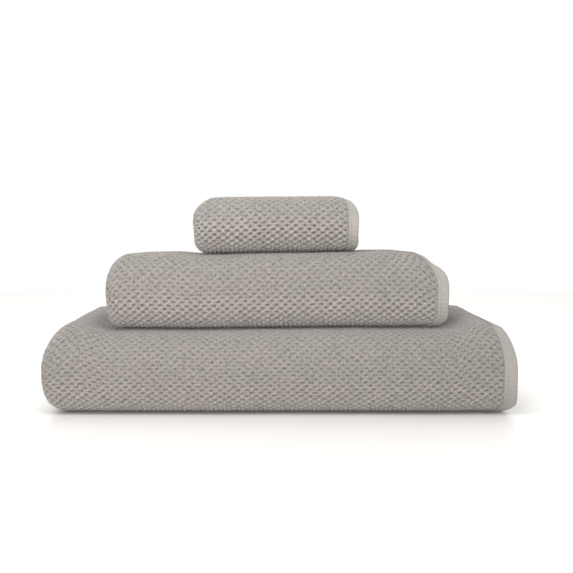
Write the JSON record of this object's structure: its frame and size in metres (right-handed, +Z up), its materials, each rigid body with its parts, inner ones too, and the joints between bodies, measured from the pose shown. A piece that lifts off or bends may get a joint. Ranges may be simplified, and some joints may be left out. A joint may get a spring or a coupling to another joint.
{
  "type": "folded towel set",
  "caption": "Stack of folded terry towels in graded sizes, with a beaded popcorn weave and flat stitched hems. Each towel lifts off, and the top one opens at its front fold.",
  "frame": {"origin": "middle of the stack's footprint, on the surface that it rests on", "axes": "+X to the right along the front folds, where the outer end hems are; -Y to the front; +Z up"},
  "size_m": [0.467, 0.233, 0.2136],
  "materials": {
    "terry": "matte",
    "hem": "matte",
    "thread": "matte"
  },
  "bodies": {
    "bath_towel": {"bath_towel_terry": "terry", "bath_towel_outer_end_hem": "hem", "bath_towel_inner_end_hem": "hem", "bath_towel_outer_end_seam": "thread", "bath_towel_inner_end_seam": "thread", "bath_towel_top_side_hem": "hem", "bath_towel_top_side_seam": "thread", "bath_towel_tucked_side_hem": "hem", "bath_towel_tucked_side_seam": "thread"},
    "hand_towel": {"hand_towel_terry": "terry", "hand_towel_outer_end_hem": "hem", "hand_towel_inner_end_hem": "hem", "hand_towel_outer_end_seam": "thread", "hand_towel_inner_end_seam": "thread", "hand_towel_top_side_hem": "hem", "hand_towel_top_side_seam": "thread", "hand_towel_tucked_side_hem": "hem", "hand_towel_tucked_side_seam": "thread"},
    "guest_towel": {"guest_towel_lower_terry": "terry", "guest_towel_lower_outer_end_hem": "hem", "guest_towel_lower_inner_end_hem": "hem", "guest_towel_lower_outer_end_seam": "thread", "guest_towel_lower_inner_end_seam": "thread", "guest_towel_lower_side_hem": "hem", "guest_towel_lower_side_seam": "thread", "guest_towel_fold_terry": "terry", "guest_towel_fold_outer_end_hem": "hem", "guest_towel_fold_inner_end_hem": "hem", "guest_towel_fold_outer_end_seam": "thread", "guest_towel_fold_inner_end_seam": "thread"},
    "guest_towel_top_half": {"guest_towel_upper_terry": "terry", "guest_towel_upper_outer_end_hem": "hem", "guest_towel_upper_inner_end_hem": "hem", "guest_towel_upper_outer_end_seam": "thread", "guest_towel_upper_inner_end_seam": "thread", "guest_towel_upper_side_hem": "hem", "guest_towel_upper_side_seam": "thread"}
  },
  "joints": [
    {"name": "hand_towel_lift", "type": "slide", "parent": "bath_towel", "child": "hand_towel", "axis": [0, 0, 1], "range_m": [0, 0.15]},
    {"name": "guest_towel_lift", "type": "slide", "parent": "hand_towel", "child": "guest_towel", "axis": [0, 0, 1], "range_m": [0, 0.15]},
    {"name": "guest_towel_unfold", "type": "hinge", "parent": "guest_towel", "child": "guest_towel_top_half", "pos_m": [-0.003, -0.0593, 0.1864], "axis": [1, 0, 0], "range_deg": [0, 90], "deforming": ["guest_towel_fold_terry", "guest_towel_fold_outer_end_hem", "guest_towel_fold_inner_end_hem", "guest_towel_fold_outer_end_seam", "guest_towel_fold_inner_end_seam"]}
  ]
}
